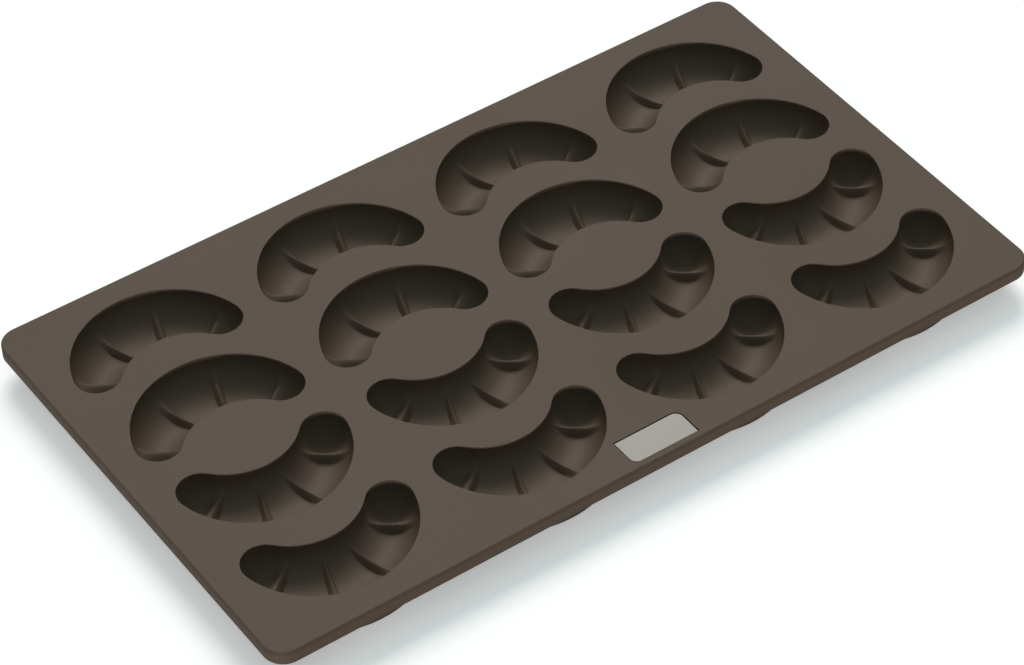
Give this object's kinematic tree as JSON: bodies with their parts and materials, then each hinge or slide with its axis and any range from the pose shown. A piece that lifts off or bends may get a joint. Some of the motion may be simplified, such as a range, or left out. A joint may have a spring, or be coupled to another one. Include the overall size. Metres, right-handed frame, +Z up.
{
  "type": "crescent cookie mold",
  "caption": "Flexible rectangular baking tray with rows of crescent cups, cross ribs in every cup, a turned-down rim and a plain inlaid label plate.",
  "frame": {"origin": "middle of the underside box, on the surface that the tray stands on", "axes": "+X along the long edge, -Y towards the front edge that carries the label plate, +Z up out of the cups"},
  "size_m": [0.3, 0.175, 0.014],
  "materials": {
    "silicone": "smooth satin silicone, dark taupe brown",
    "label": "plain satin, light grey"
  },
  "bodies": {
    "root": {"tray_front_far_left": "silicone", "tray_front_left": "silicone", "tray_front_right": "silicone", "tray_front_far_right": "silicone", "tray_back_far_left": "silicone", "tray_back_left": "silicone", "tray_back_right": "silicone", "tray_back_far_right": "silicone", "label_plate": "label"}
  },
  "joints": []
}
